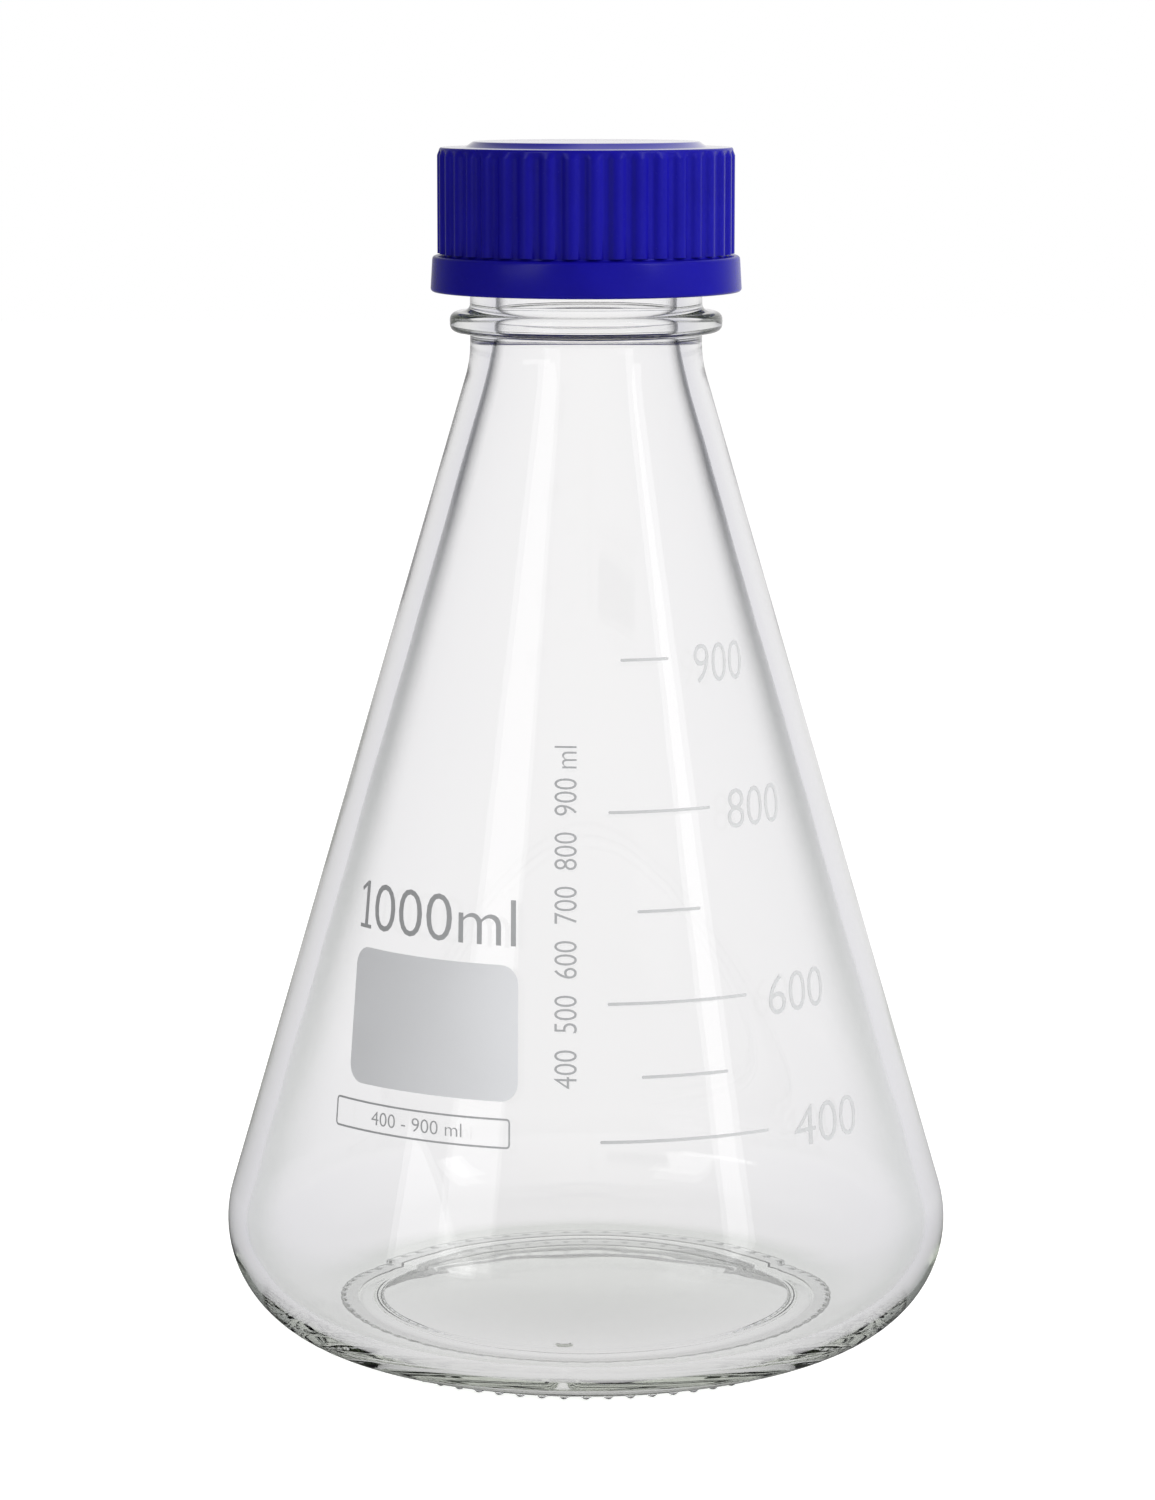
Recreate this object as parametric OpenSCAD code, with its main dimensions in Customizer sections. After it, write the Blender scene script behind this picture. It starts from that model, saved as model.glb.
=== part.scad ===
// Conical screw-cap flask, one litre: a moulded glass body with a threaded neck,
// a pouring ring that clips over the lip, a loose seal disc and a ribbed screw cap.
// Millimetres, +Z up, origin on the table under the centre of the base.

/* [Glass body] */
// Widest diameter, just above the heel
body_d = 128; // [110:1:150]
// Radius of the rounded heel
heel_r = 20; // [16:1:26]
// Height at which the cone has run out into the neck
shoulder_z = 177; // [150:1:200]
// Radius of the hollow curve between cone and neck
shoulder_r = 20; // [10:1:40]
// Wall thickness at the widest point
wall = 3.5; // [2.6:0.1:5]
// Radius of the heel inside
heel_inner_r = 15; // [11:1:17]
// Radius of the hollow curve between cone and neck, inside
shoulder_inner_r = 60; // [30:1:70]
// How far the bore's straight part starts above the outer shoulder
shoulder_inner_rise = 8; // [4:0.5:9]

/* [Base] */
// How far the standing ring's outer edge lies outside the heel's lowest circle
foot_out = 0.4; // [0:0.1:2]
// Width of the flat face of the standing ring
foot_w = 2; // [1:0.1:4]
// Height of the standing ring under the heel
foot_h = 1.7; // [1.2:0.1:3]
// Radius of the standing ring's outer edge
foot_edge_r = 1.1; // [0.4:0.1:1.2]
// Width of the bevel inside the standing ring
bevel_w = 4.5; // [2:0.1:8]
// Height of the bevel, up to the edge of the pushed-up middle
bevel_h = 2.6; // [1.5:0.1:3.2]
// Rise of the pushed-up middle from its edge to its centre
push_up = 1.6; // [0.4:0.1:2]
// Glass between the heel's lowest circle and the floor inside
base_wall = 4.8; // [4:0.1:7]
// Rise of the floor towards its centre
floor_crown = 2; // [1:0.1:4]

/* [Neck] */
// Outer diameter of the neck, which is the core of its thread
neck_d = 40.4; // [37:0.1:44]
// Wall thickness of the neck
neck_wall = 4.4; // [3.4:0.1:6]
// Plain neck between the shoulder and the bead
bead_gap = 2; // [1:0.1:6]
// How far the bead under the cap stands out from the neck
bead_step = 3.5; // [2:0.1:5]
// Height of the bead
bead_h = 3.5; // [2.8:0.1:5]
// Radius of the bead's edges
bead_edge_r = 1.3; // [0.5:0.1:1.4]
// Radius of the hollow curves where the bead meets the neck
bead_root_r = 0.6; // [0.2:0.1:0.8]
// Height of the finish, from the top of the bead to the lip
finish_h = 23.1; // [22.5:0.1:28]

/* [Lip] */
// How far the lip is stepped in from the neck, to take the pouring ring
lip_step = 1.1; // [0.9:0.05:1.6]
// Height of the stepped-in lip
lip_h = 5.6; // [5:0.1:6]
// Radius of the fire-polished edges of the lip
lip_edge_r = 1.2; // [0.5:0.1:1.3]
// Depth of the groove that the pouring ring snaps into
snap_depth = 0.5; // [0.2:0.05:0.7]
// Height of the lip's rim above that groove
snap_rim_h = 2.8; // [2:0.1:3.4]

/* [Thread] */
// Pitch, which is the rise of the cap for each turn
thread_pitch = 4; // [3.6:0.1:4.4]
// Height of the neck's thread ridge
thread_depth = 2.2; // [1.8:0.05:2.4]
// Width of a thread ridge at its root
ridge_w = 2.3; // [1.8:0.1:2.4]
// Turns of thread on the neck
neck_turns = 2.25; // [1.5:0.25:2.5]
// Turns of thread in the cap
cap_turns = 2.5; // [1.5:0.25:2.75]
// Plain neck between the last ridge and the step of the lip
thread_end_gap = 1; // [0.5:0.1:1.5]
// Clearance outside the crest of the neck's ridge
crest_gap = 0.5; // [0.3:0.05:0.8]
// Clearance inside the crest of the cap's ridge
core_gap = 1; // [0.8:0.05:1.3]
// How far the closed cap's ridges are drawn up towards the neck's
thread_draw = 0.3; // [0:0.05:0.4]

/* [Pouring ring] */
// Thickness of the ring's skirt
ring_wall = 1.3; // [0.9:0.05:1.5]
// Thickness of the ring over the lip
ring_top = 0.9; // [0.6:0.1:1.5]
// Clearance between the ring and the glass
ring_gap = 0.08; // [0.05:0.01:0.1]
// Thickness of the spout that reaches into the mouth
spout_wall = 1; // [0.6:0.1:1.6]
// Depth that the spout reaches into the mouth
spout_drop = 2.4; // [1.5:0.1:4]

/* [Seal] */
// Thickness of the seal disc
seal_t = 2; // [1.5:0.1:3]
// Clearance around the seal disc, inside the cap
seal_side_gap = 0.7; // [0.4:0.05:0.9]
// Clearance of the seal above the pouring ring
seat_gap = 0.1; // [0.05:0.05:0.2]
// Clearance of the seal under the cap's roof
roof_gap = 0.1; // [0.05:0.05:0.2]

/* [Cap] */
// Height of the cap, without the raised disc on its top
cap_h = 24.8; // [24:0.1:25.6]
// Thickness of the roof
roof_t = 2; // [1.5:0.1:3]
// Wall of the skirt between the ribs
skirt_wall = 2.2; // [1.6:0.1:3]
// How far the smooth flange stands out from the skirt
flange_step = 1.9; // [1.2:0.1:3]
// Height of the flange
flange_h = 6.2; // [4:0.1:9]
// How much smaller the flange's radius is at its top
flange_draft = 0.3; // [0:0.05:0.6]
// Radius of the flange's edges
flange_edge_r = 0.6; // [0.2:0.1:0.9]
// Number of grip ribs
rib_count = 40; // [24:1:60]
// Turn of the first rib from the X axis, in degrees
rib_turn = 3; // [0:0.5:9]
// Height of the ribs above the skirt
rib_depth = 0.7; // [0.4:0.1:1.1]
// Radius of a rib's rounded back
rib_r = 1.8; // [1.2:0.1:2.2]
// Plain rim above the ribs
rim_h = 1; // [0.6:0.1:2]
// Radius of the rim's edge
rim_edge_r = 0.5; // [0.2:0.1:0.6]
// Chamfer at the mouth of the cap
mouth_chamfer = 1.1; // [0.4:0.1:1.2]
// How far the raised disc on the top is set in from the skirt
disc_inset = 5.2; // [3:0.1:10]
// Height of the raised disc
disc_h = 1; // [0.4:0.1:1.5]
// How far the small rib that keeps the seal in stands out from the bore
keeper_depth = 1.2; // [1:0.05:1.4]
// Height of that rib
keeper_h = 0.9; // [0.6:0.1:1.2]
// Clearance of the seal above that rib
keeper_gap = 0.15; // [0.1:0.05:0.3]

/* [Hidden] */
$fn = 128;
large_arc_steps = 12;
small_arc_steps = 5;
turn_facets = 40;
ridge_facets = 8;
ridge_fullness = 0.7;
ridge_sink = 0.6;
runout_turns = 0.12;
runout_sink = 0.4;
cap_thread_angle = 180;
rib_end_h = 1.2;
rib_end_taper = 0.9;
overrun = 1;

// Radii, from the glass outwards
body_r = body_d / 2;
foot_r = body_r - heel_r + foot_out;
neck_r = neck_d / 2;
bore_r = neck_r - neck_wall;
bead_r = neck_r + bead_step;
lip_r = neck_r - lip_step;
groove_r = lip_r - snap_depth;
thread_r = neck_r + thread_depth;
ring_r = lip_r + ring_gap + ring_wall;
spout_r = bore_r - ring_gap - spout_wall;
cap_bore_r = thread_r + crest_gap;
cap_thread_r = neck_r + core_gap;
keeper_r = cap_bore_r - keeper_depth;
seal_r = cap_bore_r - seal_side_gap;
skirt_r = cap_bore_r + skirt_wall;
flange_r = skirt_r + flange_step;
disc_r = skirt_r - disc_inset;

// Heights, from the table upwards
floor_z = foot_h + base_wall;
bead_z = shoulder_z + bead_gap;
finish_z = bead_z + bead_h;
lip_z = finish_z + finish_h;
lip_base_z = lip_z - lip_h;
neck_thread_z = lip_base_z - thread_end_gap - ridge_w / 2 - neck_turns * thread_pitch;
cap_thread_z = neck_thread_z + thread_pitch * (cap_thread_angle / 360 - 1 / 2) + thread_draw;
ring_top_z = lip_z + ring_gap + ring_top;
seal_z = ring_top_z + seat_gap;
roof_z = seal_z + seal_t + roof_gap;
cap_top_z = roof_z + roof_t;
cap_z = cap_top_z - cap_h;
flange_z = cap_z + flange_h;
keeper_z = seal_z - keeper_gap - keeper_h;

// Points along an arc, from one angle to another
function arc(centre, r, from, to, steps = small_arc_steps) =
    [for (i = [0:steps]) let (a = from + (to - from) * i / steps) centre + r * [cos(a), sin(a)]];

// Points of a shallow dome, from its crown on the axis out to its edge
function dome(edge_r, edge_z, rise) =
    let (r = (edge_r * edge_r + rise * rise) / (2 * rise))
    arc([0, edge_z + rise - r], r, 90, acos(edge_r / r));

function reversed(list) = [for (i = [len(list) - 1:-1:0]) list[i]];

// Heel, cone and shoulder as one smooth line, up from the heel's start angle.
// The cone is the line that touches both circles, with the heel on one side and the shoulder on the other.
function side(heel, heel_radius, shoulder, shoulder_radius, start) =
    let (reach = shoulder - heel,
        tilt = atan2(reach[1], reach[0]) - acos((heel_radius + shoulder_radius) / norm(reach)))
    concat(arc(heel, heel_radius, start, tilt, large_arc_steps),
        arc(shoulder, shoulder_radius, tilt + 180, 180));

// Section of a rounded thread ridge, rooted in its wall: height above the wall, and place along the axis
function ridge_section(height) =
    concat([[-ridge_sink, -ridge_w / 2]],
        [for (i = [1:ridge_facets - 1]) let (u = 2 * i / ridge_facets - 1)
            [height * pow(cos(90 * u), ridge_fullness), u * ridge_w / 2]],
        [[-ridge_sink, ridge_w / 2]]);

// How full the ridge stands at a number of turns, with a run-out at both ends
function ridge_swell(turn, turns) =
    sin(90 * min(1, turn / runout_turns, (turns - turn) / runout_turns));

// Right-hand helical ridge, standing out from a core (way = 1) or into a bore (way = -1)
module helical_ridge(wall_r, height, way, turns, start_z, start_angle) {
    steps = ceil(turns * turn_facets);
    section = ridge_section(height);
    corners = len(section);
    points = [for (s = [0:steps], p = section)
        let (turn = turns * s / steps,
            angle = start_angle + 360 * turn,
            swell = p[0] > 0 ? ridge_swell(turn, turns) : 1,
            r = wall_r + way * (p[0] * swell - runout_sink * (1 - swell)))
        [r * cos(angle), r * sin(angle), start_z + thread_pitch * turn + p[1]]];
    sides = [for (s = [0:steps - 1], c = [0:corners - 1])
        let (here = s * corners + c, next = s * corners + (c + 1) % corners)
        each [[here, next, next + corners], [here, next + corners, here + corners]]];
    ends = [[for (c = [corners - 1:-1:0]) c], [for (c = [0:corners - 1]) steps * corners + c]];
    faces = concat(sides, ends);
    polyhedron(points, way > 0 ? faces : [for (face = faces) reversed(face)]);
}

module glass_section() {
    heel = [body_r - heel_r, foot_h + heel_r];
    shoulder = [neck_r + shoulder_r, shoulder_z];
    heel_inside = [body_r - wall - heel_inner_r, floor_z + heel_inner_r];
    shoulder_inside = [bore_r + shoulder_inner_r, shoulder_z + shoulder_inner_rise];
    heel_start = -acos(foot_out / heel_r);
    foot_face_r = foot_r - foot_edge_r;
    bead_edge = bead_r - bead_edge_r;
    groove_top_z = lip_z - snap_rim_h;
    polygon(concat(
        dome(foot_face_r - foot_w - bevel_w, bevel_h, push_up),
        [[foot_face_r - foot_w, 0]],
        arc([foot_face_r, foot_edge_r], foot_edge_r, -90, 0),
        side(heel, heel_r, shoulder, shoulder_r, heel_start),
        arc([neck_r + bead_root_r, bead_z - bead_root_r], bead_root_r, 180, 90),
        arc([bead_edge, bead_z + bead_edge_r], bead_edge_r, -90, 0),
        arc([bead_edge, finish_z - bead_edge_r], bead_edge_r, 0, 90),
        arc([neck_r + bead_root_r, finish_z + bead_root_r], bead_root_r, -90, -180),
        [[neck_r, lip_base_z], [groove_r, lip_base_z]],
        [[groove_r, groove_top_z - snap_depth], [lip_r, groove_top_z]],
        arc([lip_r - lip_edge_r, lip_z - lip_edge_r], lip_edge_r, 0, 90),
        arc([bore_r + lip_edge_r, lip_z - lip_edge_r], lip_edge_r, 90, 180),
        reversed(side(heel_inside, heel_inner_r, shoulder_inside, shoulder_inner_r, -90)),
        reversed(dome(heel_inside[0], floor_z, floor_crown))
    ));
}

// Moulded glass body, hollow and open at the lip
module flask() {
    color([0.84, 0.9, 0.88, 0.4]) {
        rotate_extrude() glass_section();
        helical_ridge(neck_r, thread_depth, 1, neck_turns, neck_thread_z, 0);
    }
}

module ring_section() {
    snap_z = lip_z - snap_rim_h - ring_gap * tan(22.5);
    spout_z = lip_z - spout_drop;
    top_edge_r = ring_top / 3;
    spout_edge_r = spout_wall * 2 / 3;
    polygon(concat(
        [[groove_r + ring_gap, lip_base_z + ring_gap], [ring_r, lip_base_z + ring_gap]],
        arc([ring_r - top_edge_r, ring_top_z - top_edge_r], top_edge_r, 0, 90),
        arc([spout_r + spout_edge_r, ring_top_z - spout_edge_r], spout_edge_r, 90, 180),
        [[spout_r, spout_z], [bore_r - ring_gap, spout_z], [bore_r - ring_gap, lip_z + ring_gap]],
        [[lip_r + ring_gap, lip_z + ring_gap], [lip_r + ring_gap, snap_z]],
        [[groove_r + ring_gap, snap_z - snap_depth]]
    ));
}

// Pouring ring, snapped over the lip
module pouring_ring() {
    color("royalblue") rotate_extrude() ring_section();
}

// Soft seal disc, loose between the cap's roof and the rib that keeps it in
module cap_seal() {
    edge_r = seal_t / 6;
    color("ivory") rotate_extrude() polygon(concat(
        [[0, seal_z]],
        arc([seal_r - edge_r, seal_z + edge_r], edge_r, -90, 0),
        arc([seal_r - edge_r, seal_z + seal_t - edge_r], edge_r, 0, 90),
        [[0, seal_z + seal_t]]
    ));
}

// Outside of the cap without its ribs: flange, skirt, plain rim and raised disc
module cap_outline() {
    rim_r = skirt_r + rib_depth / 2;
    top_r = flange_r - flange_draft;
    polygon(concat(
        [[0, cap_z]],
        arc([flange_r - flange_edge_r, cap_z + flange_edge_r], flange_edge_r, -90, 0),
        arc([top_r - flange_edge_r, flange_z - flange_edge_r], flange_edge_r, 0, 90),
        [[skirt_r, flange_z], [skirt_r, cap_top_z - rim_h - rib_depth / 2], [rim_r, cap_top_z - rim_h]],
        arc([rim_r - rim_edge_r, cap_top_z - rim_edge_r], rim_edge_r, 0, 90),
        [[disc_r + disc_h, cap_top_z]],
        arc([disc_r - disc_h / 2, cap_top_z + disc_h / 2], disc_h / 2, 45, 90),
        [[0, cap_top_z + disc_h]]
    ));
}

// Hollow of the cap: chamfered mouth, threaded bore, keeper rib and seat of the seal
module cap_hollow() {
    polygon([
        [0, cap_z - overrun],
        [cap_bore_r + mouth_chamfer + overrun, cap_z - overrun],
        [cap_bore_r, cap_z + mouth_chamfer],
        [cap_bore_r, keeper_z],
        [keeper_r, keeper_z + keeper_h / 3],
        [keeper_r, keeper_z + keeper_h * 2 / 3],
        [cap_bore_r, keeper_z + keeper_h],
        [cap_bore_r, roof_z],
        [0, roof_z]
    ]);
}

// One grip rib, with its top end drawn in
module grip_rib() {
    end_z = cap_top_z - rim_h - rib_end_h;
    translate([skirt_r + rib_depth - rib_r, 0, 0]) {
        translate([0, 0, flange_z - overrun]) cylinder(r = rib_r, h = end_z - flange_z + overrun);
        translate([0, 0, end_z]) cylinder(r1 = rib_r, r2 = rib_r - rib_end_taper, h = rib_end_h);
    }
}

// Screw cap, moulded in one piece
module screw_cap() {
    color("mediumblue") {
        difference() {
            union() {
                rotate_extrude() cap_outline();
                for (i = [0:rib_count - 1]) rotate([0, 0, rib_turn + 360 * i / rib_count]) grip_rib();
            }
            rotate_extrude() cap_hollow();
        }
        helical_ridge(cap_bore_r, cap_bore_r - cap_thread_r, -1, cap_turns, cap_thread_z, cap_thread_angle);
    }
}

flask();
pouring_ring();
cap_seal();
screw_cap();
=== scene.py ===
import math

import bmesh
import bpy
import numpy as np
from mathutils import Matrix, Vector


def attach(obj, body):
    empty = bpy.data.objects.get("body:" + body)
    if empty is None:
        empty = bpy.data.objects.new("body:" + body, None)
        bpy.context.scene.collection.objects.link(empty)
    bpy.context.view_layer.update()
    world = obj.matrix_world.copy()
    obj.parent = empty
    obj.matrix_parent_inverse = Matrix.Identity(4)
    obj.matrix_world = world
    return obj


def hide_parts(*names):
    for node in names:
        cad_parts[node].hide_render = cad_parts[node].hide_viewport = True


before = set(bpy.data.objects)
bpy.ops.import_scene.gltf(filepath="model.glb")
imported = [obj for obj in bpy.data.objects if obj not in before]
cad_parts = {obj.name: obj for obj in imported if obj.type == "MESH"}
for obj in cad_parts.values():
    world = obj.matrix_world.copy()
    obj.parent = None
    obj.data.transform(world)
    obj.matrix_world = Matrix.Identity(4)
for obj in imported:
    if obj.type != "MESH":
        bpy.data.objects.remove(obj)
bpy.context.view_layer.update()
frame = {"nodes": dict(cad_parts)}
scene = bpy.context.scene
scene.view_settings.view_transform = "Standard"
mm = 0.001
mathNode = "ShaderNodeMath"
bounces = {"max_bounces": 64, "glossy_bounces": 48, "transmission_bounces": 24}
for limit, count in bounces.items():
    setattr(scene.cycles, limit, count)  # light runs far inside a thick glass foot before it comes out
print("frame loaded:", ", ".join(frame["nodes"]))


# sRGB hex to the linear colour that a shader takes
def linear(code):
    parts = [int(code[i:i + 2], 16) / 255 for i in (1, 3, 5)]
    return tuple(p / 12.92 if p <= 0.04045 else ((p + 0.055) / 1.055) ** 2.4 for p in parts) + (1.0,)


# one node with its settings; an input is a socket to link or a plain value
def addNode(tree, kind, inputs=None, **settings):
    node = tree.nodes.new(kind)
    for name, value in settings.items():
        setattr(node, name, value)
    for socket, value in (inputs or {}).items():
        if isinstance(value, bpy.types.NodeSocket):
            tree.links.new(value, node.inputs[socket])
        else:
            node.inputs[socket].default_value = value
    return node


# a run of nodes that each work on earlier results: name, kind, operation, then what goes in
def addSteps(tree, known, steps):
    for name, kind, operation, *terms in steps:
        inputs = {i: known.get(term, term) if isinstance(term, str) else term for i, term in enumerate(terms)}
        known[name] = addNode(tree, kind, inputs, operation=operation).outputs[0]
    return known


# an empty material and its tree
def newMaterial(name):
    material = bpy.data.materials.new(name)
    material.use_nodes = True
    material.node_tree.nodes.clear()
    return material, material.node_tree


# flat profiles are in millimetres, as (radius, height)
def arcPoints(centre, radius, start, end, steps):
    return [(centre[0] + radius * math.cos(math.radians(a)), centre[1] + radius * math.sin(math.radians(a)))
            for a in np.linspace(start, end, steps + 1)]


# a straight run of points; ease is the share of the first and last spans
def linePoints(start, end, steps, ease=0.0):
    shares = np.linspace(0, 1, steps + 1)
    if ease:  # short first and last spans keep the straight part's shading straight
        shares = np.concatenate([[0, ease], np.linspace(ease, 1 - ease, steps)[1:-1], [1 - ease, 1]])
    return [(start[0] + (end[0] - start[0]) * s, start[1] + (end[1] - start[1]) * s) for s in shares]


# from the middle of a shallow dome out to its edge
def domePoints(edgeR, edgeZ, rise, steps):
    radius = (edgeR * edgeR + rise * rise) / (2 * rise)
    return arcPoints((0, edgeZ + rise - radius), radius, 90, math.degrees(math.acos(edgeR / radius)), steps)


# heel, cone and shoulder as one smooth line: the cone touches both circles
def sidePoints(heel, heelR, shoulder, shoulderR, start, steps):
    reach = (shoulder[0] - heel[0], shoulder[1] - heel[1])
    tilt = math.degrees(math.atan2(reach[1], reach[0])
                        - math.acos((heelR + shoulderR) / math.hypot(*reach)))
    low = arcPoints(heel, heelR, start, tilt, steps[0])
    high = arcPoints(shoulder, shoulderR, tilt + 180, 180, steps[2])
    return low + linePoints(low[-1], high[0], steps[1], 0.02)[1:-1] + high


# turns a profile round the axis; each group is (points, segments, relief share), and a radius of 0 is a pole
def lathe(name, groups, material, closed=False):
    rows = []
    for points, count, share in groups:
        for r, z in points:
            if not rows or math.hypot(rows[-1][0] - r, rows[-1][1] - z) > 1e-4:
                rows.append((max(r, 0), z, count, share))
    if closed and math.hypot(rows[-1][0] - rows[0][0], rows[-1][1] - rows[0][1]) < 1e-4:
        rows.pop()
    mesh = bmesh.new()
    layer = mesh.verts.layers.float.new("relief")
    rings = []
    for r, z, count, share in rows:
        angles = [0.0] if r < 1e-6 else [2 * math.pi * i / count for i in range(count)]
        rings.append([mesh.verts.new((r * math.cos(a) * mm, r * math.sin(a) * mm, z * mm)) for a in angles])
        for vert in rings[-1]:
            vert[layer] = share
    for low, high in zip(rings, rings[1:] + (rings[:1] if closed else [])):
        sizes = len(low), len(high)
        few = min(sizes) if min(sizes) > 1 else max(sizes)
        for i in range(few):
            below = [low[k % sizes[0]] for k in spanOf(i, sizes[0], few)]
            above = [high[k % sizes[1]] for k in spanOf(i, sizes[1], few)]
            mesh.faces.new(below + above[::-1])
    data = bpy.data.meshes.new(name)
    mesh.to_mesh(data)
    mesh.free()
    data.materials.append(material)
    piece = bpy.data.objects.new(name, data)
    scene.collection.objects.link(piece)
    return piece


# which of a ring's points belong to face i of the coarser of two rings
def spanOf(i, count, few):
    if count == 1:
        return [0]
    share = count // few
    return range(i * share, (i + 1) * share + 1)


# smooth shading with sharp edges kept from an angle in degrees
def finishSurface(piece, sharpAngle):
    piece.data.shade_smooth()
    piece.data.set_sharp_from_angle(angle=math.radians(sharpAngle))


# joins pieces of one finish into the first and closes their seam
def joinPieces(keep, *others):
    mesh = bmesh.new()
    for piece in (keep,) + others:
        mesh.from_mesh(piece.data)
    bmesh.ops.remove_doubles(mesh, verts=mesh.verts, dist=1e-6)
    mesh.to_mesh(keep.data)
    mesh.free()
    for piece in others:
        bpy.data.objects.remove(piece)


# a solid finish: two colours in soft clouds, with roughness and relief from a fine grain
# sizes are in millimetres, and the grain is drawn coarser than the real one so that it shows
def mouldedFinish(name, look):
    material, tree = newMaterial(name)
    place = addNode(tree, "ShaderNodeTexCoord").outputs["Object"]
    grain, cloud = (addNode(tree, "ShaderNodeTexNoise", {
        "Vector": place, "Scale": 1 / (look[part] * mm), "Detail": look[part + "Detail"]}).outputs[0]
        for part in ("grain", "cloud"))
    tone = addNode(tree, "ShaderNodeMix", {
        0: cloud, 6: linear(look["dark"]), 7: linear(look["light"])}, data_type="RGBA")
    rough = addNode(tree, "ShaderNodeMapRange", {
        "Value": grain, "To Min": look["roughness"][0], "To Max": look["roughness"][1]})
    inputs = {"Base Color": tone.outputs[2], "Roughness": rough.outputs[0], "IOR": look["ior"]}
    if look["relief"]:
        inputs["Normal"] = addNode(tree, "ShaderNodeBump", {
            "Height": grain, "Strength": look["relief"][0], "Distance": look["relief"][1] * mm}).outputs[0]
    surface = addNode(tree, "ShaderNodeBsdfPrincipled", inputs | look["extra"])
    addNode(tree, "ShaderNodeOutputMaterial", {0: surface.outputs[0]})
    return material


# runs a geometry tree on a piece, keeps the result as a plain mesh and takes the modifier off
def bakeTree(piece, tree, values):
    modifier = piece.modifiers.new(tree.name, "NODES")
    modifier.node_group = tree
    for item in tree.interface.items_tree:
        if item.item_type == "SOCKET" and item.in_out == "INPUT" and item.name in values:
            modifier[item.identifier] = values[item.name]
    graph = bpy.context.evaluated_depsgraph_get()
    mesh = bpy.data.meshes.new_from_object(piece.evaluated_get(graph), depsgraph=graph)
    piece.modifiers.remove(modifier)
    old = piece.data
    piece.data = mesh
    bpy.data.meshes.remove(old)


# a tree whose steps work out an offset in metres, then moves the surface by it, outwards or along its normal
def reliefTree(name, sockets, steps, radial=True):
    tree = bpy.data.node_groups.new(name, "GeometryNodeTree")
    tree.interface.new_socket("Geometry", in_out="INPUT", socket_type="NodeSocketGeometry")
    for label, value in sockets.items():
        kind = {int: "NodeSocketInt", float: "NodeSocketFloat"}.get(type(value), "NodeSocketMaterial")
        socket = tree.interface.new_socket(label, in_out="INPUT", socket_type=kind)
        if value is not None:
            socket.default_value = value
    tree.interface.new_socket("Geometry", in_out="OUTPUT", socket_type="NodeSocketGeometry")
    entry = addNode(tree, "NodeGroupInput")
    place = addNode(tree, "ShaderNodeSeparateXYZ", {0: addNode(tree, "GeometryNodeInputPosition").outputs[0]})
    share = addNode(tree, "GeometryNodeInputNamedAttribute", {"Name": "relief"}, data_type="FLOAT")
    known = {"x": place.outputs[0], "y": place.outputs[1], "z": place.outputs[2], "share": share.outputs[0]}
    known.update({label: entry.outputs[label] for label in sockets})
    addSteps(tree, known, [
        ("angle", mathNode, "ARCTAN2", "y", "x"),
        ("turn", mathNode, "DIVIDE", "angle", 2 * math.pi),
    ] + steps)
    if radial:
        flat = addNode(tree, "ShaderNodeCombineXYZ", {0: known["x"], 1: known["y"]})
        way = addNode(tree, "ShaderNodeVectorMath", {0: flat.outputs[0]}, operation="NORMALIZE")
    else:
        way = addNode(tree, "GeometryNodeInputNormal")
    move = addNode(tree, "ShaderNodeVectorMath", {
        0: way.outputs[0], "Scale": known["offset"]}, operation="SCALE")
    moved = addNode(tree, "GeometryNodeSetPosition", {
        "Geometry": entry.outputs["Geometry"], "Offset": move.outputs[0]})
    real = addNode(tree, "GeometryNodeRealizeInstances", {0: moved.outputs[0]})
    dressed = addNode(tree, "GeometryNodeSetMaterial", {
        "Geometry": real.outputs[0], "Material": entry.outputs["Finish"]})
    addNode(tree, "NodeGroupOutput", {0: dressed.outputs[0]})
    return tree


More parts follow.
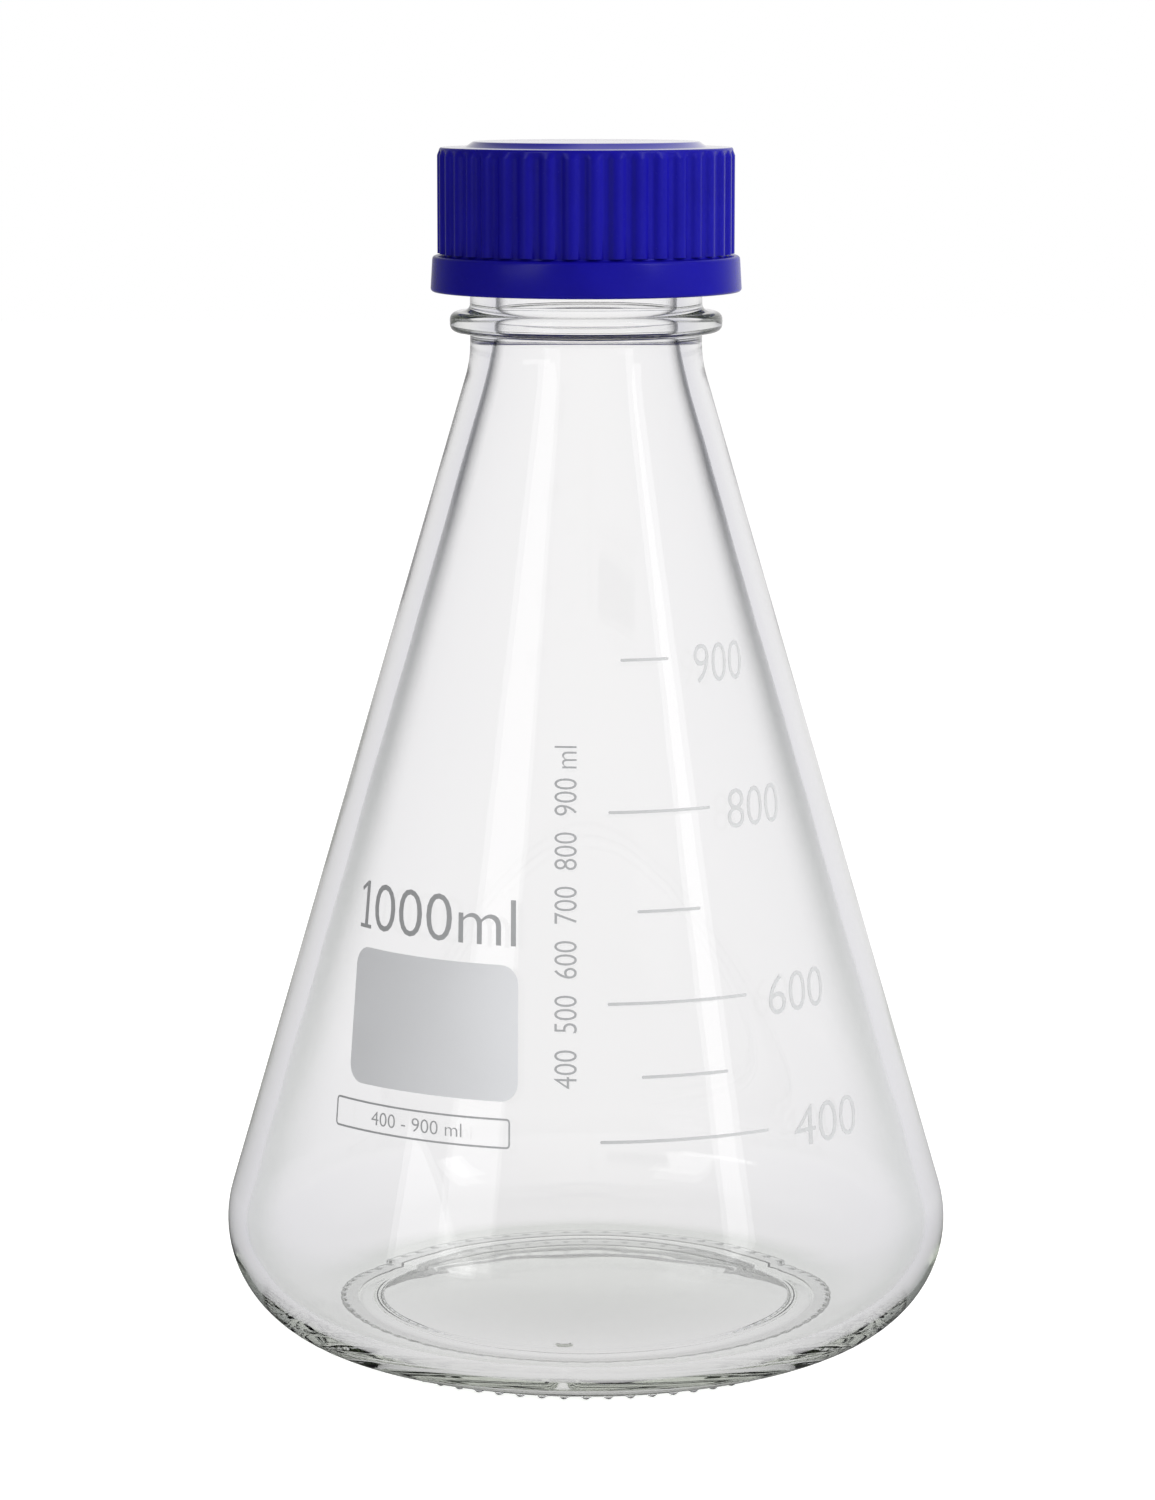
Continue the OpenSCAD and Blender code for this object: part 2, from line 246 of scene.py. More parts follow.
# a rounded ridge that climbs round a bore or a neck and runs out at both ends
threadTree = reliefTree("threadRelief", {
    "Pitch": 0.004, "Ridge Height": 0.0022, "Ridge Width": 0.0023, "Turns": 2.25, "Start Height": 0.19,
    "Start Turn": 0.0, "Run-out Turns": 0.12, "Fullness": 0.7, "Finish": None,
}, [
    ("fromStart", mathNode, "SUBTRACT", "turn", "Start Turn"),
    ("height", mathNode, "SUBTRACT", "z", "Start Height"),
    ("rise", mathNode, "DIVIDE", "height", "Pitch"),
    ("gap", mathNode, "SUBTRACT", "rise", "fromStart"),
    ("whole", mathNode, "ROUND", "gap"),
    ("along", mathNode, "ADD", "fromStart", "whole"),  # turns from the ridge's start
    ("across", mathNode, "SUBTRACT", "rise", "along"),
    ("aside", mathNode, "ABSOLUTE", "across"),
    ("distance", mathNode, "MULTIPLY", "aside", "Pitch"),
    ("half", mathNode, "DIVIDE", "Ridge Width", 2.0),
    ("part", mathNode, "DIVIDE", "distance", "half"),
    ("partIn", mathNode, "MINIMUM", "part", 1.0),
    ("bend", mathNode, "MULTIPLY", "partIn", math.pi / 2),
    ("round", mathNode, "COSINE", "bend"),
    ("roundUp", mathNode, "MAXIMUM", "round", 0.0),
    ("section", mathNode, "POWER", "roundUp", "Fullness"),
    ("left", mathNode, "SUBTRACT", "Turns", "along"),
    ("nearest", mathNode, "MINIMUM", "along", "left"),
    ("fade", mathNode, "DIVIDE", "nearest", "Run-out Turns"),
    ("fadeIn", mathNode, "MINIMUM", "fade", 1.0),
    ("fadeUp", mathNode, "MAXIMUM", "fadeIn", 0.0),
    ("quarter", mathNode, "MULTIPLY", "fadeUp", math.pi / 2),
    ("swell", mathNode, "SINE", "quarter"),
    ("shape", mathNode, "MULTIPLY", "section", "swell"),
    ("full", mathNode, "MULTIPLY", "shape", "Ridge Height"),
    ("offset", mathNode, "MULTIPLY", "full", "share"),
])

# upright ribs with round backs and a small fillet at the root
ribTree = reliefTree("gripRibs", {
    "Ribs": 40, "First Rib Turn": 0.0, "Rib Height": 0.0009, "Rib Radius": 0.0013, "Skirt Radius": 0.025,
    "Root Fillet": 0.0003, "Finish": None,
}, [
    ("fromFirst", mathNode, "SUBTRACT", "turn", "First Rib Turn"),
    ("ribs", mathNode, "MULTIPLY", "fromFirst", "Ribs"),
    ("whole", mathNode, "ROUND", "ribs"),
    ("part", mathNode, "SUBTRACT", "ribs", "whole"),
    ("round", mathNode, "MULTIPLY", "Skirt Radius", 2 * math.pi),
    ("spacing", mathNode, "DIVIDE", "round", "Ribs"),
    ("aside", mathNode, "MULTIPLY", "part", "spacing"),
    ("asideSquare", mathNode, "MULTIPLY", "aside", "aside"),
    ("radiusSquare", mathNode, "MULTIPLY", "Rib Radius", "Rib Radius"),
    ("under", mathNode, "SUBTRACT", "radiusSquare", "asideSquare"),
    ("underIn", mathNode, "MAXIMUM", "under", 0.0),
    ("back", mathNode, "SQRT", "underIn"),
    ("root", mathNode, "SUBTRACT", "Rib Height", "Rib Radius"),
    ("rib", mathNode, "ADD", "back", "root"),
    ("above", mathNode, "SMOOTH_MAX", "rib", 0.0, "Root Fillet"),
    ("offset", mathNode, "MULTIPLY", "above", "share"),
])

# a row of small round bumps under the foot
stippleTree = reliefTree("baseStipple", {
    "Bumps": 72, "Bump Height": 0.0004, "Bump Length": 0.0022, "Ring Radius": 0.0444, "Top Height": 0.004,
    "Softness": 0.25, "Finish": None,
}, [
    ("bumps", mathNode, "MULTIPLY", "turn", "Bumps"),
    ("whole", mathNode, "ROUND", "bumps"),
    ("part", mathNode, "SUBTRACT", "bumps", "whole"),
    ("round", mathNode, "MULTIPLY", "Ring Radius", 2 * math.pi),
    ("spacing", mathNode, "DIVIDE", "round", "Bumps"),
    ("aside", mathNode, "MULTIPLY", "part", "spacing"),
    ("half", mathNode, "DIVIDE", "Bump Length", 2.0),
    ("reach", mathNode, "DIVIDE", "aside", "half"),
    ("square", mathNode, "MULTIPLY", "reach", "reach"),
    ("under", mathNode, "SUBTRACT", 1.0, "square"),
    ("bump", mathNode, "SMOOTH_MAX", "under", 0.0, "Softness"),
    ("high", mathNode, "MULTIPLY", "bump", "Bump Height"),
    ("below", mathNode, "LESS_THAN", "z", "Top Height"),
    ("here", mathNode, "MULTIPLY", "share", "below"),
    ("offset", mathNode, "MULTIPLY", "high", "here"),
], radial=False)
print("geometry trees ready")


cameraValues = {"lens": 105.64, "sensor": 36, "reach": 20, "distance": 767.6, "height": 226.85, "aside": -1.5,
                "pitch": 9.0}
cameraData = bpy.data.cameras.new("camera")
cameraData.lens = cameraValues["lens"]
cameraData.sensor_width = cameraValues["sensor"]
cameraData.clip_end = cameraValues["reach"]
camera = bpy.data.objects.new("camera", cameraData)
camera.location = (cameraValues["aside"] * mm, -cameraValues["distance"] * mm, cameraValues["height"] * mm)
camera.rotation_euler = (math.radians(90 - cameraValues["pitch"]), 0, 0)
scene.collection.objects.link(camera)
scene.camera = camera
print("camera ready")


# levels are shares of white; lamps are place, aim, size, watts and whether gloss and glass show them
studio = {
    "floorSize": 6.0, "floorColour": "#F4F4F2", "floorGlow": 0.5, "fill": 0.43, "fillRight": 0.48,
    "through": 0.975, "sideDim": 0.18, "nearAxis": 0.12, "nearShade": 0.34, "nearReach": 0.05,
    "glossFront": 0.02, "glossBack": 0.85, "glossRight": 0.12, "glossLeft": 0.3, "glossSlope": 1.6,
    "warm": "#FFFEFF", "cool": "#F1F0FA",
    "lamps": {
        "stripLeft": ((-0.9, -1.1, 0.8), (0, 0, 0.1), (0.5, 0.9), 1.7, True),
        "stripRight": ((1.1, -0.9, 0.8), (0, 0, 0.1), (0.25, 0.9), 1.1, True),
        "stripLow": ((-1.05, -0.88, 0.33), (0, 0, 0.05), (0.7, 0.1), 0.3, True),
        "softboxKey": ((1.6, -0.9, 1.1), (0, 0, 0.1), (1.2, 1.2), 32, False),
    },
}


# what glass and gloss see round the object: brightest behind it, dimmer to the sides and in front
def seenLevels(tree, vector):
    rays = addNode(tree, "ShaderNodeLightPath")
    way = addNode(tree, "ShaderNodeSeparateXYZ", {0: vector})
    known = {"camera": rays.outputs["Is Camera Ray"], "glossy": rays.outputs["Is Glossy Ray"],
             "through": rays.outputs["Is Transmission Ray"], "x": way.outputs[0], "y": way.outputs[1]}
    return addSteps(tree, known, [
        ("xx", mathNode, "MULTIPLY", "x", "x"),
        ("yy", mathNode, "MULTIPLY", "y", "y"),
        ("round", mathNode, "ADD", "xx", "yy"),
        ("soft", mathNode, "ADD", "round", studio["nearAxis"] ** 2),
        ("sideways", mathNode, "DIVIDE", "xx", "soft"),
        ("sideLevel", mathNode, "MULTIPLY_ADD", "sideways", -studio["sideDim"], studio["through"]),
        ("spread", mathNode, "ADD", "round", studio["nearReach"] ** 2),
        ("near", mathNode, "DIVIDE", studio["nearReach"] ** 2, "spread"),
        ("nearLevel", mathNode, "MULTIPLY_ADD", "near", -studio["nearShade"], 1.0),  # the flask's own shade
        ("throughLevel", mathNode, "MULTIPLY", "sideLevel", "nearLevel"),
        ("length", mathNode, "SQRT", "soft"),
        ("behind", mathNode, "DIVIDE", "y", "length"),
        ("backOnly", mathNode, "MAXIMUM", "behind", 0.0),
        ("backSquare", mathNode, "MULTIPLY", "backOnly", "backOnly"),
        ("right", mathNode, "DIVIDE", "x", "length"),
        ("rightOnly", mathNode, "MAXIMUM", "right", 0.0),
        ("plain", mathNode, "MULTIPLY_ADD", "rightOnly", studio["fillRight"], studio["fill"]),
        ("glossRound", mathNode, "MULTIPLY_ADD", "rightOnly", studio["glossRight"], studio["glossFront"]),
        ("fade", mathNode, "MULTIPLY_ADD", "right", studio["glossSlope"], 1.0),
        ("fadeLow", mathNode, "MAXIMUM", "fade", studio["glossLeft"]),
        ("fadeIn", mathNode, "MINIMUM", "fadeLow", 1.0),
        ("backShare", mathNode, "MULTIPLY", "backSquare", "fadeIn"),
        ("glossLevel", mathNode, "MULTIPLY_ADD", "backShare", studio["glossBack"], "glossRound"),
        ("change", mathNode, "SUBTRACT", "throughLevel", "glossLevel"),
        ("level", mathNode, "MULTIPLY_ADD", "through", "change", "glossLevel"),  # a bent ray is glossy too
        ("bent", mathNode, "MAXIMUM", "glossy", "through")])


# the tint that goes with those levels: warm white behind the object, faintly blue towards the sides
def seenColour(tree, known):
    tint = addNode(tree, "ShaderNodeMix", {
        0: known["sideways"], 6: linear(studio["warm"]), 7: linear(studio["cool"])}, data_type="RGBA")
    return tint.outputs[2]


# matt paint: it keeps the shadow and glows up to white
floorMaterial, tree = newMaterial("paintedStudioFloor")
known = seenLevels(tree, addNode(tree, "ShaderNodeTexCoord").outputs["Object"])
diffuse = addNode(tree, "ShaderNodeBsdfDiffuse", {"Color": linear(studio["floorColour"])})
glow = addNode(tree, "ShaderNodeEmission", {"Strength": studio["floorGlow"]})
lit = addNode(tree, "ShaderNodeAddShader", {0: diffuse.outputs[0], 1: glow.outputs[0]})
direct = addNode(tree, "ShaderNodeMixShader", {0: known["camera"], 1: diffuse.outputs[0], 2: lit.outputs[0]})
# painted light: to glass and gloss the floor glows dimmer to the sides, with a painted shade under the flask
seen = addNode(tree, "ShaderNodeEmission", {"Color": seenColour(tree, known), "Strength": known["level"]})
mixed = addNode(tree, "ShaderNodeMixShader", {0: known["bent"], 1: direct.outputs[0], 2: seen.outputs[0]})
addNode(tree, "ShaderNodeOutputMaterial", {0: mixed.outputs[0]})
floorMesh = bpy.data.meshes.new("studioFloor")
half = studio["floorSize"] / 2
corners = [(-half, -half, 0), (half, -half, 0), (half, half, 0), (-half, half, 0)]
floorMesh.from_pydata(corners, [], [(0, 1, 2, 3)])
floorMesh.materials.append(floorMaterial)
studioFloor = bpy.data.objects.new("studioFloor", floorMesh)
scene.collection.objects.link(studioFloor)

world = bpy.data.worlds.new("softStudio")
scene.world = world
world.use_nodes = True
tree = world.node_tree
tree.nodes.clear()
known = seenLevels(tree, addNode(tree, "ShaderNodeTexCoord").outputs["Generated"])
plain = addNode(tree, "ShaderNodeBackground", {"Color": linear("#FFFFFF"), "Strength": known["plain"]})
white = addNode(tree, "ShaderNodeBackground", {"Color": linear("#FFFFFF"), "Strength": 1.0})
direct = addNode(tree, "ShaderNodeMixShader", {0: known["camera"], 1: plain.outputs[0], 2: white.outputs[0]})
seen = addNode(tree, "ShaderNodeBackground", {"Color": seenColour(tree, known), "Strength": known["level"]})
mixed = addNode(tree, "ShaderNodeMixShader", {0: known["bent"], 1: direct.outputs[0], 2: seen.outputs[0]})
addNode(tree, "ShaderNodeOutputWorld", {0: mixed.outputs[0]})

for name, (place, aim, size, watts, shown) in studio["lamps"].items():
    data = bpy.data.lights.new(name, "AREA")
    data.shape = "RECTANGLE"
    data.size, data.size_y = size
    data.energy = watts
    lamp = bpy.data.objects.new(name, data)
    lamp.location = place
    lamp.rotation_euler = (Vector(aim) - Vector(place)).to_track_quat("-Z", "Y").to_euler()
    lamp.visible_glossy = lamp.visible_transmission = shown
    scene.collection.objects.link(lamp)
print("studio ready")


# sizes are in millimetres
glass = {
    "bodyR": 64, "heelR": 20, "shoulderZ": 177, "shoulderR": 20,
    "wall": 3.5, "heelInnerR": 15, "shoulderInnerR": 60, "shoulderInnerRise": 8,
    # standing ring, bevel and step under the base, with the dome inside it and the floor above
    "footOut": 0.4, "footWidth": 2, "footHeight": 1.7, "footEdgeR": 1.1, "footRootR": 2.0, "footRootOut": 0.2,
    "bevelWidth": 4.5, "bevelHeight": 2.6, "bevelIn": (1.4, 0.7), "bevelOut": (0.4, 0.12),
    "stepIn": 0.6, "stepEdgeR": 0.5, "stepOut": 1.3, "stepRootZ": 1.75, "stepRootR": 1.2,
    "pushUp": 1.6, "baseWall": 4.8, "floorCrown": 2,
    # neck, bead and lip
    "neckR": 20.2, "neckWall": 4.4, "beadGap": 2, "beadStep": 3.5, "beadHeight": 3.5, "beadEdgeR": 1.3,
    "beadRootR": 0.6, "beadTopRootR": 1.4, "finishHeight": 23.1, "lipStep": 1.1, "lipHeight": 5.6,
    "lipEdgeR": 1.2, "lipRootR": 0.4, "snapDepth": 0.5, "snapRim": 2.8,
    # bumps under the standing ring, and the mark on the dome
    "bumps": 72, "bumpHeight": 0.45, "bumpLength": 1.8, "bumpRadius": 44.4, "bumpSideShare": 0.4,
    "bumpReach": 0.4, "markX": -3.8, "markY": -33.5, "markR": 1.9, "markHeight": 0.8, "markTop": 4.25,
    # facets
    "segments": 240, "baseSegments": 720, "outerSteps": (30, 12, 14), "innerSteps": (26, 12, 14),
    "threadRow": 0.15, "insideDepth": 1.5, "insideDrop": 1,
    # what it looks like, with painted shade at the edges where the wall turns away and at the bump tips
    "ior": 1.473, "bodyColour": "#C6CCBE", "absorb": 10.0, "shadowColour": "#F7F9F7",
    "edgeShadeColour": "#0C0F10", "footEdgeShadeColour": "#DDE1DC", "edgeShadeLow": 25, "edgeShadeHigh": 150,
    "edgeInStart": 0.48, "edgeInEnd": 0.76, "edgeOutStart": 0.65, "edgeOutEnd": 1.0, "edgeOutShare": 0.55,
    "tipShadeColour": "#000000", "tipHeight": 0.72, "waveLength": 22, "waveHeight": 0.08,
}
thread = {"pitch": 4, "depth": 2.2, "width": 2.3, "neckTurns": 2.25, "capTurns": 2.5, "endGap": 1,
          "crestGap": 0.5, "coreGap": 1, "draw": 0.3, "runout": 0.12, "fullness": 0.7}

# clear and hard, with the slow waves of a mould, and painted shade: grey to dark edges where the wall turns
# away and black bump tips where the flask stands
glassMaterial, tree = newMaterial("borosilicateGlassMoulded")
place = addNode(tree, "ShaderNodeTexCoord")
waves = addNode(tree, "ShaderNodeTexNoise", {
    "Vector": place.outputs["Object"], "Scale": 1 / (glass["waveLength"] * mm), "Detail": 1.0})
bump = addNode(tree, "ShaderNodeBump", {
    "Height": waves.outputs[0], "Strength": 1.0, "Distance": glass["waveHeight"] * mm})
slant = addNode(tree, "ShaderNodeLayerWeight", {"Blend": 0.5, "Normal": bump.outputs[0]})
# painted shade: the glass is tinted dark where it faces away, as if dark surroundings showed in its edges
edgeIn = addNode(tree, "ShaderNodeMapRange", {
    "Value": slant.outputs["Facing"], "From Min": glass["edgeInStart"], "From Max": glass["edgeInEnd"],
}, interpolation_type="SMOOTHSTEP")
edgeOut = addNode(tree, "ShaderNodeMapRange", {
    "Value": slant.outputs["Facing"], "From Min": glass["edgeOutStart"], "From Max": glass["edgeOutEnd"],
    "To Max": glass["edgeOutShare"]}, interpolation_type="SMOOTHSTEP")
within = addNode(tree, "ShaderNodeAttribute", attribute_name="inside")
edge = addNode(tree, "ShaderNodeMix", {0: within.outputs["Fac"], 2: edgeOut.outputs[0], 3: edgeIn.outputs[0]})
spot = addNode(tree, "ShaderNodeSeparateXYZ", {0: place.outputs["Object"]})
# the painted edge shade is pale near the foot and darkest higher up
upward = addNode(tree, "ShaderNodeMapRange", {
    "Value": spot.outputs[2], "From Min": glass["edgeShadeLow"] * mm, "From Max": glass["edgeShadeHigh"] * mm})
rim = addNode(tree, "ShaderNodeMix", {
    0: upward.outputs[0], 6: linear(glass["footEdgeShadeColour"]), 7: linear(glass["edgeShadeColour"]),
}, data_type="RGBA")
tone = addNode(tree, "ShaderNodeMix", {
    0: edge.outputs[0], 6: linear("#FFFFFF"), 7: rim.outputs[2]}, data_type="RGBA")
# painted shade: the glass turns black at the very bottom, where the bump tips touch the floor
tip = addNode(tree, "ShaderNodeMapRange", {
    "Value": spot.outputs[2], "From Max": glass["tipHeight"] * mm, "To Min": 1.0, "To Max": 0.0})
tipShaded = addNode(tree, "ShaderNodeMix", {
    0: tip.outputs[0], 6: tone.outputs[2], 7: linear(glass["tipShadeColour"])}, data_type="RGBA")
surface = addNode(tree, "ShaderNodeBsdfPrincipled", {
    "Base Color": tipShaded.outputs[2], "Roughness": 0.0, "IOR": glass["ior"], "Transmission Weight": 1.0,
    "Normal": bump.outputs[0]})
rays = addNode(tree, "ShaderNodeLightPath")
clear = addNode(tree, "ShaderNodeBsdfTransparent", {"Color": linear(glass["shadowColour"])})
mixed = addNode(tree, "ShaderNodeMixShader", {
    0: rays.outputs["Is Shadow Ray"], 1: surface.outputs[0], 2: clear.outputs[0]})
body = addNode(tree, "ShaderNodeVolumeAbsorption", {
    "Color": linear(glass["bodyColour"]), "Density": glass["absorb"]})
addNode(tree, "ShaderNodeOutputMaterial", {0: mixed.outputs[0], 1: body.outputs[0]})

footR = glass["bodyR"] - glass["heelR"] + glass["footOut"]
boreR = glass["neckR"] - glass["neckWall"]
beadR = glass["neckR"] + glass["beadStep"]
lipR = glass["neckR"] - glass["lipStep"]
grooveR = lipR - glass["snapDepth"]
floorZ = glass["footHeight"] + glass["baseWall"]
beadZ = glass["shoulderZ"] + glass["beadGap"]
finishZ = beadZ + glass["beadHeight"]
lipZ = finishZ + glass["finishHeight"]
lipBaseZ = lipZ - glass["lipHeight"]
snapRimZ = lipZ - glass["snapRim"]
neckThreadZ = lipBaseZ - thread["endGap"] - thread["width"] / 2 - thread["neckTurns"] * thread["pitch"]
heel = (glass["bodyR"] - glass["heelR"], glass["footHeight"] + glass["heelR"])
shoulder = (glass["neckR"] + glass["shoulderR"], glass["shoulderZ"])
heelIn = (glass["bodyR"] - glass["wall"] - glass["heelInnerR"], floorZ + glass["heelInnerR"])
shoulderIn = (boreR + glass["shoulderInnerR"], glass["shoulderZ"] + glass["shoulderInnerRise"])
heelStart = -math.degrees(math.acos(glass["footOut"] / glass["heelR"]))
outerSide = sidePoints(heel, glass["heelR"], shoulder, glass["shoulderR"], heelStart,
                       glass["outerSteps"])
innerSide = sidePoints(heelIn, glass["heelInnerR"], shoulderIn, glass["shoulderInnerR"], -90,
                       glass["innerSteps"])
wallHeights = [z for r, z in outerSide]
wallRadii = [r for r, z in outerSide]

side, base = glass["segments"], glass["baseSegments"]
neckR, lipEdgeR, lipRootR = glass["neckR"], glass["lipEdgeR"], glass["lipRootR"]
rootR, topRootR = glass["beadRootR"], glass["beadTopRootR"]
beadEdge, edgeR = beadR - glass["beadEdgeR"], glass["beadEdgeR"]
threadRows = int((lipBaseZ - lipRootR - finishZ - topRootR) / glass["threadRow"])
lift = glass["bumpHeight"]  # the flask stands on the tips of the bumps
footFaceR = footR - glass["footEdgeR"]
footInR = footFaceR - glass["footWidth"]
pushR = footInR - glass["bevelWidth"]
domeR, stepEdgeZ = pushR - glass["stepIn"], glass["bevelHeight"] - glass["stepEdgeR"]
bevelIn = (pushR + glass["bevelIn"][0], glass["bevelIn"][1] + lift / 2)
bevelOut = (footInR - glass["bevelOut"][0], glass["bevelOut"][1] + lift)
footRoot = (footInR + glass["footRootOut"], glass["footRootR"] + lift)
footEdge = (footFaceR, glass["footEdgeR"] + lift)
glassBody = lathe("glassBody", [
    (domePoints(domeR, glass["bevelHeight"], glass["pushUp"], 28), side, 0),
    (arcPoints((domeR, stepEdgeZ), glass["stepEdgeR"], 88, 40, 4), base, 0),
    (arcPoints((pushR + glass["stepOut"], glass["stepRootZ"]), glass["stepRootR"], 195, 255, 5), base, 0),
    (linePoints(bevelIn, bevelOut, 3), base, 0),
    (arcPoints(footRoot, glass["footRootR"], -105, -90, 3), base, 0),
    (linePoints((footInR + glass["footWidth"] / 2, lift), (footFaceR, lift), 2), base, 0),
    (arcPoints(footEdge, glass["footEdgeR"], -90, -50, 4)[1:], base, 1),
    (arcPoints(footEdge, glass["footEdgeR"], -40, 0, 4), base, glass["bumpSideShare"]),
    (outerSide[:3], base, 0),
    (outerSide[3:], side, 0),
    (arcPoints((neckR + rootR, beadZ - rootR), rootR, 180, 90, 5), side, 0),
    (arcPoints((beadEdge, beadZ + edgeR), edgeR, -90, 0, 6), side, 0),
    (arcPoints((beadEdge, finishZ - edgeR), edgeR, 0, 90, 6), side, 0),
    (arcPoints((neckR + topRootR, finishZ + topRootR), topRootR, 270, 180, 8), side, 0),
    (linePoints((neckR, finishZ + topRootR), (neckR, lipBaseZ - lipRootR), threadRows), side, 1),
    (arcPoints((neckR - lipRootR, lipBaseZ - lipRootR), lipRootR, 0, 90, 3), side, 0),
    ([(grooveR, lipBaseZ), (grooveR, snapRimZ - glass["snapDepth"]), (lipR, snapRimZ)], side, 0),
    (arcPoints((lipR - lipEdgeR, lipZ - lipEdgeR), lipEdgeR, 0, 90, 6), side, 0),
    (arcPoints((boreR + lipEdgeR, lipZ - lipEdgeR), lipEdgeR, 90, 180, 6), side, 0),
    (innerSide[::-1], side, 0),
    (domePoints(heelIn[0], floorZ, glass["floorCrown"], 14)[::-1], side, 0),
], glassMaterial)
bakeTree(glassBody, threadTree, {
    "Pitch": thread["pitch"] * mm, "Ridge Height": thread["depth"] * mm, "Ridge Width": thread["width"] * mm,
    "Turns": thread["neckTurns"], "Start Height": neckThreadZ * mm, "Start Turn": 0.0,
    "Run-out Turns": thread["runout"], "Fullness": thread["fullness"], "Finish": glassMaterial})
bakeTree(glassBody, stippleTree, {
    "Bumps": glass["bumps"], "Bump Height": glass["bumpHeight"] * mm, "Bump Length": glass["bumpLength"] * mm,
    "Ring Radius": glass["bumpRadius"] * mm,
    "Top Height": (glass["footHeight"] + glass["bumpReach"]) * mm, "Finish": glassMaterial})
# small round mark that the mould leaves under the foot
for vert in glassBody.data.vertices:
    away = math.hypot(vert.co.x / mm - glass["markX"], vert.co.y / mm - glass["markY"]) / glass["markR"]
    if away < 1 and vert.co.z < glass["markTop"] * mm:
        vert.co.z -= glass["markHeight"] * mm * (1 - away * away) ** 2
# tells the inner wall from the outer one, for the painted dark line where the bore turns away
inside = glassBody.data.attributes.new("inside", "FLOAT", "POINT")
for vert in glassBody.data.vertices:
    z, r = vert.co.z / mm, math.hypot(vert.co.x, vert.co.y) / mm
    depth = np.interp(z, wallHeights, wallRadii) - r
    inside.data[vert.index].value = float(z > floorZ - glass["insideDrop"] and depth > glass["insideDepth"])
finishSurface(glassBody, 40)
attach(glassBody, "glass_body")
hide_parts("flask")
print("glass body ready:", len(glassBody.data.polygons), "faces")


# a finish has two colours, the sizes of its cloud and grain, and the lowest and highest roughness
# its relief is strength and depth
cap = {
    "height": 24.8, "roof": 2, "skirtWall": 2.2, "rootR": 0.35, "rim": 1.0, "rimEdgeR": 0.5,
    "flangeStep": 1.9, "flangeHeight": 6.2, "flangeDraft": 0.3, "flangeEdgeR": 0.6,
    "ribs": 40, "ribTurn": 3, "ribHeight": 0.7, "ribR": 1.8, "ribRootR": 0.35,
    "ribStart": 0.05, "ribEnd": 1.2, "ribEndStep": 0.1,
    "discInset": 5.2, "discHeight": 1, "discEdgeR": 0.5, "discRoot": (0.2, 0.1), "topMargin": 0.02,
    "mouthChamfer": 1.1, "roofCornerR": 0.2, "keeperDepth": 1.2, "keeperHeight": 0.9, "keeperGap": 0.15,
    "threadRow": 0.15, "threadStart": 0.5, "segments": 640, "innerSegments": 320,
    "finish": {"dark": "#0D087F", "light": "#130E93", "cloud": 9, "cloudDetail": 2.0, "grain": 0.35,
               "grainDetail": 3.0, "roughness": (0.2, 0.3), "relief": (0.15, 0.02), "ior": 1.49,
               "extra": {"Specular IOR Level": 0.3}},
    # the top's colours are painted lighter than the skirt's, a painted highlight
    "topLitFinish": {"dark": "#15128C", "light": "#1D1A9E", "cloud": 5, "cloudDetail": 4.0, "grain": 5,
                  "grainDetail": 4.0, "roughness": (0.06, 0.2), "relief": None, "ior": 1.49,
                  "extra": {"Coat Weight": 1.0, "Coat Roughness": 0.08}},
}
# the ring and the disc lie under the cap, so its height is built up from theirs
ring = {
    "top": 0.9, "gap": 0.08, "wall": 1.3, "edgeR": 0.2, "spoutWall": 1, "spoutDrop": 2.4, "spoutTipR": 0.3,
    "snapSlope": 22.5,
    "finish": {"dark": "#1D1A93", "light": "#2422A6", "cloud": 0.6, "cloudDetail": 2.0, "grain": 0.6,
               "grainDetail": 2.0, "roughness": (0.16, 0.26), "relief": (0.1, 0.02), "ior": 1.49,
               "extra": {}},
}
seal = {
    "thickness": 2, "sideGap": 0.7, "seatGap": 0.1, "roofGap": 0.1, "bandWidth": 6.0, "bandSlope": 0.4,
    "bandDepth": 0.12,
    "finish": {"dark": "#DAD7CB", "light": "#E6E4DA", "cloud": 12, "cloudDetail": 2.0, "grain": 0.4,
               "grainDetail": 4.0, "roughness": (0.45, 0.65), "relief": (0.3, 0.03), "ior": 1.41,
               "extra": {"Subsurface Weight": 0.15, "Subsurface Radius": (0.8 * mm, 0.7 * mm, 0.6 * mm)}},
}
threadR = glass["neckR"] + thread["depth"]
capBoreR = threadR + thread["crestGap"]
capThreadR = glass["neckR"] + thread["coreGap"]
skirtR = capBoreR + cap["skirtWall"]
flangeR = skirtR + cap["flangeStep"]
discR = skirtR - cap["discInset"]
keeperR = capBoreR - cap["keeperDepth"]
sealR = capBoreR - seal["sideGap"]
ringTopZ = lipZ + ring["gap"] + ring["top"]
sealZ = ringTopZ + seal["seatGap"]
roofZ = sealZ + seal["thickness"] + seal["roofGap"]
capTopZ = roofZ + cap["roof"]
capZ = capTopZ - cap["height"]
flangeZ = capZ + cap["flangeHeight"]
keeperZ = sealZ - cap["keeperGap"] - cap["keeperHeight"]
capThreadZ = neckThreadZ + thread["draw"]

# satin and slightly waxy, with the fine grain of a spark-eroded mould
capMaterial = mouldedFinish("polypropyleneMoulded", cap["finish"])
# the flat top: the same plastic, smoother and coated so it carries a pale reflection, with its colours painted
# lighter than the skirt's as a painted highlight
topLitMaterial = mouldedFinish("polypropyleneTopLitGloss", cap["topLitFinish"])

